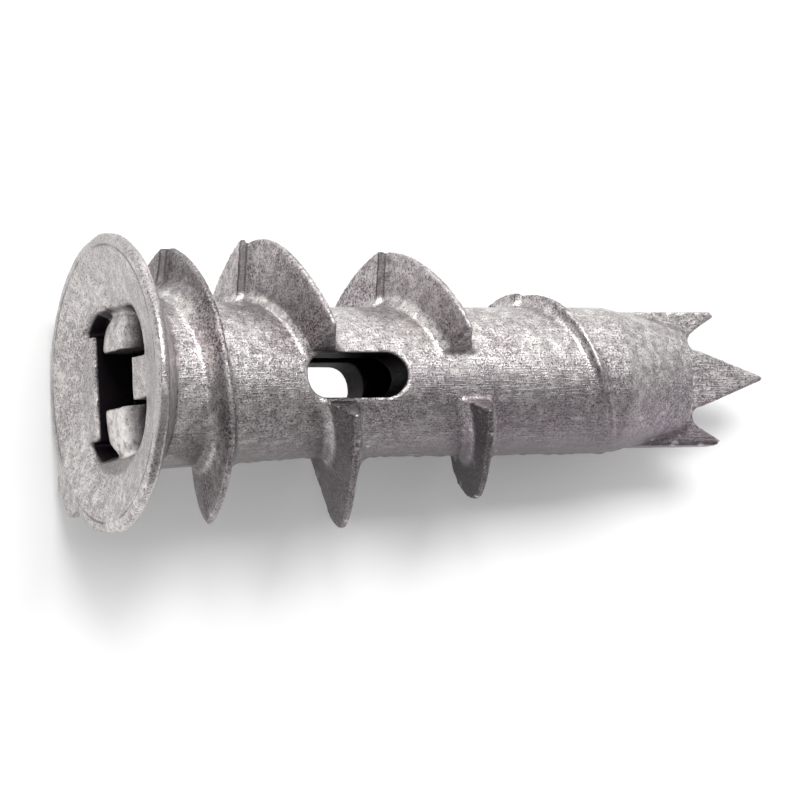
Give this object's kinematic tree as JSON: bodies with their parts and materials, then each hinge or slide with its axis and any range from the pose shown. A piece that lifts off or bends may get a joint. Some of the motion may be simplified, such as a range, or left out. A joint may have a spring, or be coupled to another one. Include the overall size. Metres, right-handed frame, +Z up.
{
  "type": "drywall anchor",
  "caption": "Self-drilling drywall anchor of cast zinc, with a dished head, a drive recess, a deep tapering thread, a side slot and a flat drill point.",
  "frame": {"origin": "on the anchor's axis, in the plane of the head's outer edge", "axes": "+Z up as the anchor lies at rest; +X towards the drill point, 6.6 degrees above the anchor's own axis, which slopes nose-down; the slot runs up and down, 3.1 degrees off the vertical, and the anchor lies on the fins beside one of its two mouths"},
  "size_m": [0.0328, 0.013, 0.013],
  "materials": {
    "cast_zinc": "satin, as cast"
  },
  "bodies": {
    "root": {"anchor_body": "cast_zinc"}
  },
  "joints": []
}
